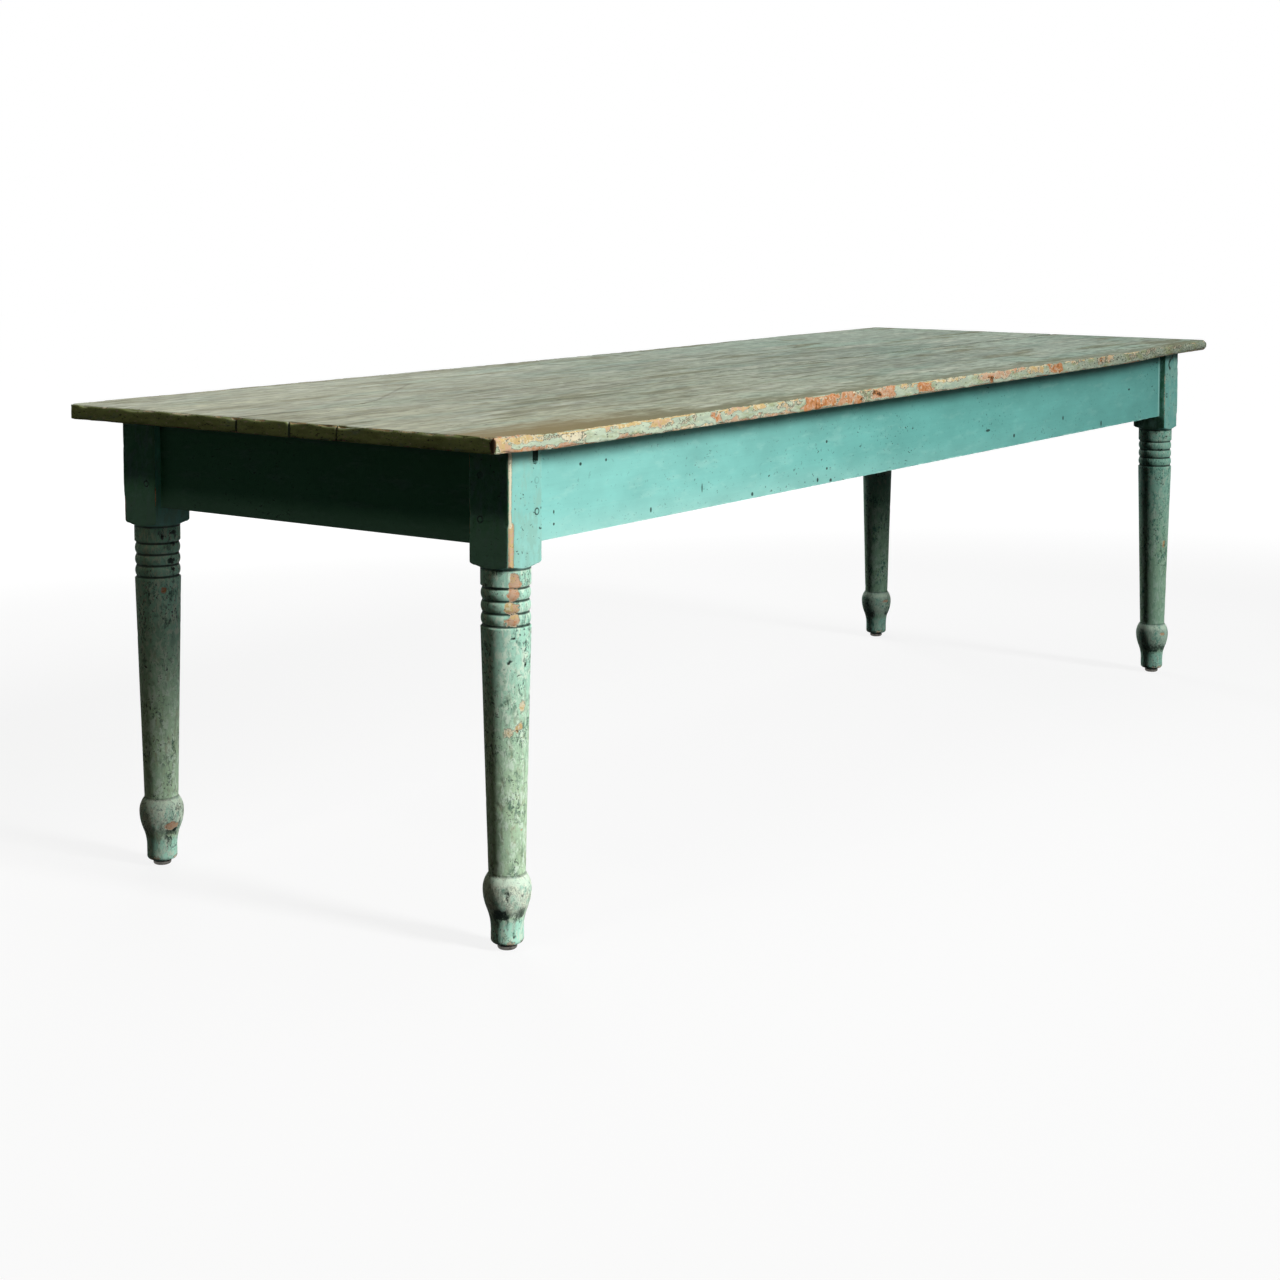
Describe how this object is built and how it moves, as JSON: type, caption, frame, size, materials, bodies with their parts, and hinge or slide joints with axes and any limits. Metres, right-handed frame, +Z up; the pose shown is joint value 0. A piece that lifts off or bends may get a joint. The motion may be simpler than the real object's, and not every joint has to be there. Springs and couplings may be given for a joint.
{
  "type": "farmhouse table",
  "caption": "Long farmhouse dining table with a plank top, plain apron frame pegged into square-headed turned legs, worn paint and small nail-on glides under the feet.",
  "frame": {"origin": "on the floor under the middle of the top", "axes": "+X along the length of the table, +Y across it from the front long side to the back one, +Z up"},
  "size_m": [2.6, 0.88, 0.762],
  "materials": {
    "top_paint": "thin worn grey-green paint over planks, chipped to bare wood along the edges",
    "frame_paint": "old sea-green paint over wood, chipped and grimy low on the legs",
    "bare_wood": "unpainted aged softwood",
    "nickel": "dull nickel plate, scuffed on the sole",
    "rubber": "black rubber",
    "steel": "darkened steel"
  },
  "bodies": {
    "root": {"apron_back": "frame_paint", "apron_front": "frame_paint", "apron_left": "frame_paint", "apron_right": "frame_paint", "brace_screws_left": "steel", "brace_screws_middle": "steel", "brace_screws_right": "steel", "cross_brace_left": "bare_wood", "cross_brace_middle": "bare_wood", "cross_brace_right": "bare_wood", "dowels_back_joint": "bare_wood", "dowels_front_joint": "bare_wood", "glide_base_back_left": "nickel", "glide_base_back_right": "nickel", "glide_base_front_left": "nickel", "glide_base_front_right": "nickel", "glide_cushion_back_left": "rubber", "glide_cushion_back_right": "rubber", "glide_cushion_front_left": "rubber", "glide_cushion_front_right": "rubber", "glide_nail_back_left": "steel", "glide_nail_back_right": "steel", "glide_nail_front_left": "steel", "glide_nail_front_right": "steel", "glue_blocks_back": "bare_wood", "glue_blocks_front": "bare_wood", "glue_blocks_left": "bare_wood", "glue_blocks_right": "bare_wood", "leg_back_left": "frame_paint", "leg_back_right": "frame_paint", "leg_front_left": "frame_paint", "leg_front_right": "frame_paint", "pegs_back_left": "frame_paint", "pegs_back_right": "frame_paint", "pegs_front_left": "frame_paint", "pegs_front_right": "frame_paint", "top_board_back": "top_paint", "top_board_front": "top_paint", "top_board_middle": "top_paint"}
  },
  "joints": []
}
